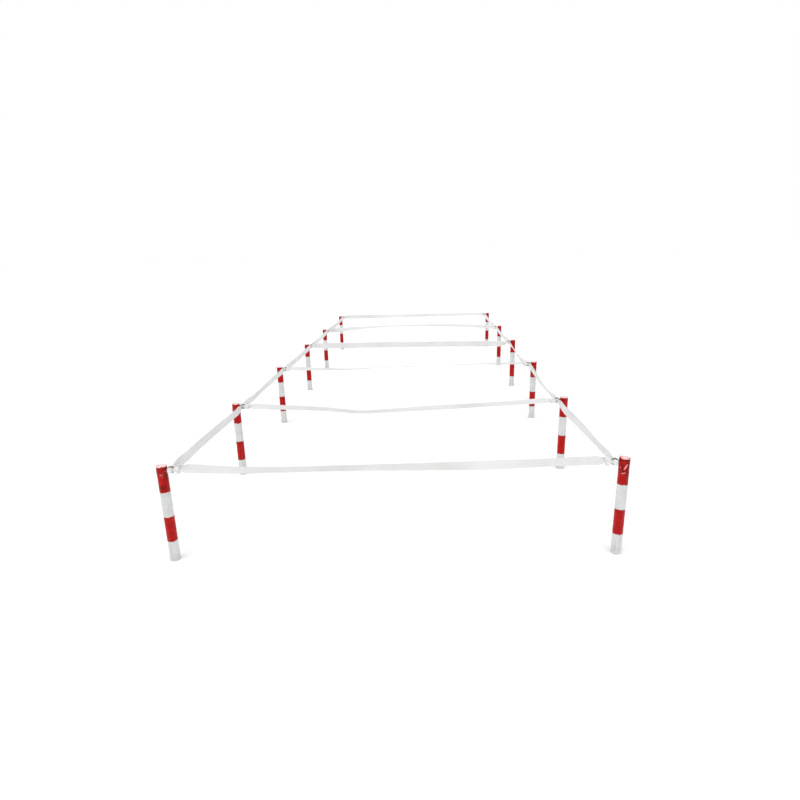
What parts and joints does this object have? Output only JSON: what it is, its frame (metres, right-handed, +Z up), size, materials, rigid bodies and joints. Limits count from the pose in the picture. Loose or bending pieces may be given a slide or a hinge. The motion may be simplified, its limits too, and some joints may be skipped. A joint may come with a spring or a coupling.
{
  "type": "low post and webbing lane",
  "caption": "Low crawl lane of short red and white banded posts on ground spikes, joined at head height by flat white webbing along both sides and across.",
  "frame": {"origin": "on the ground at the centre of the lane's footprint", "axes": "+X across the lane to the right, +Y along the lane away from the front, +Z up"},
  "size_m": [2.148, 5.598, 0.7565],
  "materials": {
    "galvanised_tube": "dull galvanised",
    "red_film": "glossy film, creased at the head",
    "white_film": "glossy film",
    "eye_steel": "dull dark steel",
    "webbing": "flat woven webbing",
    "cap_plastic": "pale, moulded, matt",
    "spike_steel": "dull, scraped by soil"
  },
  "bodies": {
    "root": {"post_tube_left_1": "galvanised_tube", "post_tube_left_2": "galvanised_tube", "post_tube_left_3": "galvanised_tube", "post_tube_left_4": "galvanised_tube", "post_tube_left_5": "galvanised_tube", "post_tube_left_6": "galvanised_tube", "post_tube_right_1": "galvanised_tube", "post_tube_right_2": "galvanised_tube", "post_tube_right_3": "galvanised_tube", "post_tube_right_4": "galvanised_tube", "post_tube_right_5": "galvanised_tube", "post_tube_right_6": "galvanised_tube", "red_film_left_1": "red_film", "red_film_left_2": "red_film", "red_film_left_3": "red_film", "red_film_left_4": "red_film", "red_film_left_5": "red_film", "red_film_left_6": "red_film", "red_film_right_1": "red_film", "red_film_right_2": "red_film", "red_film_right_3": "red_film", "red_film_right_4": "red_film", "red_film_right_5": "red_film", "red_film_right_6": "red_film", "white_film_left_1": "white_film", "white_film_left_2": "white_film", "white_film_left_3": "white_film", "white_film_left_4": "white_film", "white_film_left_5": "white_film", "white_film_left_6": "white_film", "white_film_right_1": "white_film", "white_film_right_2": "white_film", "white_film_right_3": "white_film", "white_film_right_4": "white_film", "white_film_right_5": "white_film", "white_film_right_6": "white_film", "eye_bolt_left_1": "eye_steel", "eye_bolt_left_2": "eye_steel", "eye_bolt_left_3": "eye_steel", "eye_bolt_left_4": "eye_steel", "eye_bolt_left_5": "eye_steel", "eye_bolt_left_6": "eye_steel", "eye_bolt_right_1": "eye_steel", "eye_bolt_right_2": "eye_steel", "eye_bolt_right_3": "eye_steel", "eye_bolt_right_4": "eye_steel", "eye_bolt_right_5": "eye_steel", "eye_bolt_right_6": "eye_steel", "cross_webbing_1": "webbing", "cross_webbing_2": "webbing", "cross_webbing_3": "webbing", "cross_webbing_4": "webbing", "cross_webbing_5": "webbing", "cross_webbing_6": "webbing", "side_webbing_left": "webbing", "side_webbing_right": "webbing", "webbing_knots": "webbing", "head_caps": "cap_plastic", "threaded_inserts": "galvanised_tube", "ground_spikes": "spike_steel"}
  },
  "joints": []
}
